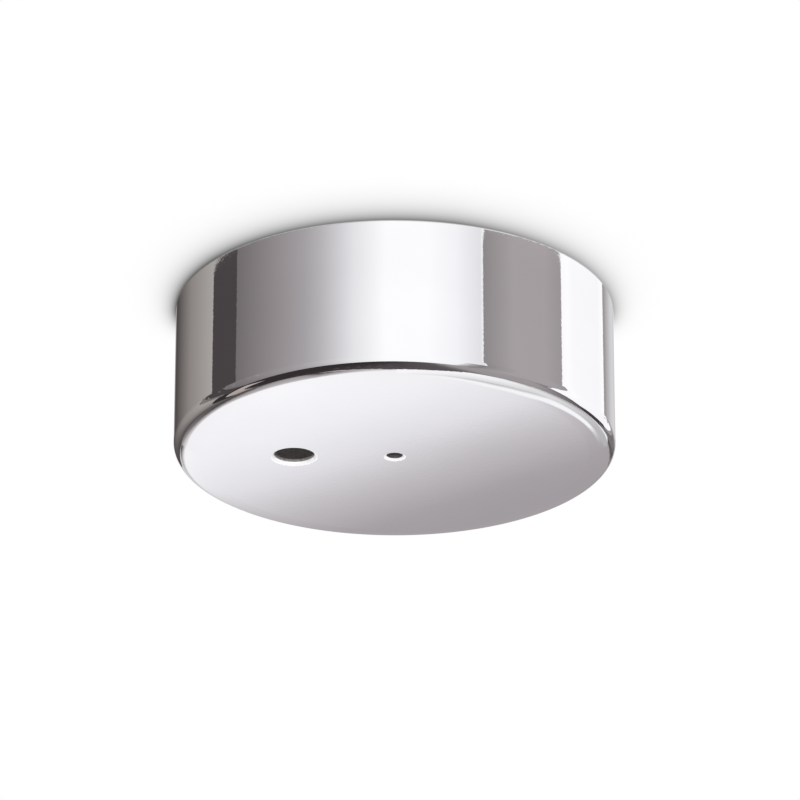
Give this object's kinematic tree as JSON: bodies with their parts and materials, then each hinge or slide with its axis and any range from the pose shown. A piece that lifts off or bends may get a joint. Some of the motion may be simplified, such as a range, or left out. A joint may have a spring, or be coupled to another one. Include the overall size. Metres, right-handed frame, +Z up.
{
  "type": "electrical ceiling rose",
  "caption": "Round polished metal ceiling rose: a shallow cup with an off-centre flex hole and a small middle wire hole, clipped over a cross-shaped ceiling bracket with terminals.",
  "frame": {"origin": "centre of the two ceiling slots, on the ceiling plane where the bracket and the canopy's rim meet it", "axes": "+Z up into the ceiling, -X towards the flex hole, the ceiling slots along Y"},
  "size_m": [0.11, 0.11, 0.039],
  "materials": {
    "chrome_plate": "polished",
    "zinc_plate": "satin",
    "spring_steel": "satin",
    "rivet_steel": "satin",
    "washer_steel": "satin",
    "screw_steel": "satin",
    "brass": "satin",
    "nylon": "matte",
    "block_plastic": "satin"
  },
  "bodies": {
    "fixed_part": {"bracket": "zinc_plate", "spring_clip_front": "spring_steel", "spring_clip_rear": "spring_steel", "clip_rivets": "rivet_steel", "hanger_bush": "brass", "hanger_washer": "washer_steel", "hanger_nut": "brass", "cord_pad": "nylon", "cord_saddle": "nylon", "saddle_screws": "screw_steel", "saddle_nuts": "screw_steel", "terminal_housing": "block_plastic", "terminal_tube_front": "brass", "terminal_tube_middle": "brass", "terminal_tube_rear": "brass", "terminal_screws": "screw_steel", "block_screws": "screw_steel", "earth_screw": "brass", "earth_clamp_plate": "brass", "earth_lock_washer": "washer_steel"},
    "cover": {"canopy": "chrome_plate"}
  },
  "joints": [
    {"name": "canopy_slide", "type": "slide", "parent": "fixed_part", "child": "cover", "axis": [0, 0, -1], "range_m": [0, 0.045]}
  ]
}
